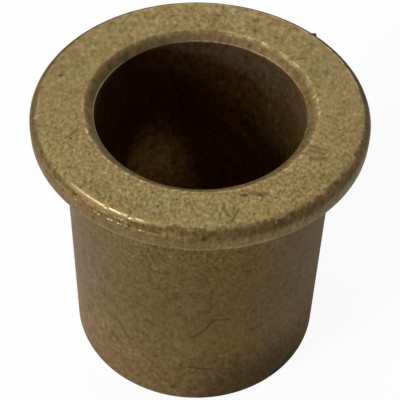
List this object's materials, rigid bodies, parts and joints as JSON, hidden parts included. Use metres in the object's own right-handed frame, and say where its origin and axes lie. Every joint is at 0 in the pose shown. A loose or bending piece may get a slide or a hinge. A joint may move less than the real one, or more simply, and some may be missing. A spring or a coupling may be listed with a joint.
{
  "type": "flanged bushing",
  "caption": "Flanged sleeve bushing of sintered bronze: a plain bearing with a smooth bore, a press-fit sleeve and a thin thrust flange with bevelled edges.",
  "frame": {"origin": "centre of the sleeve's plain end, on the bore's axis", "axes": "+Z along the bore, from the plain end to the flange"},
  "size_m": [0.032, 0.032, 0.03],
  "materials": {
    "sintered_bronze": "dull, granular, oil-darkened"
  },
  "bodies": {
    "root": {"bushing": "sintered_bronze"}
  },
  "joints": []
}
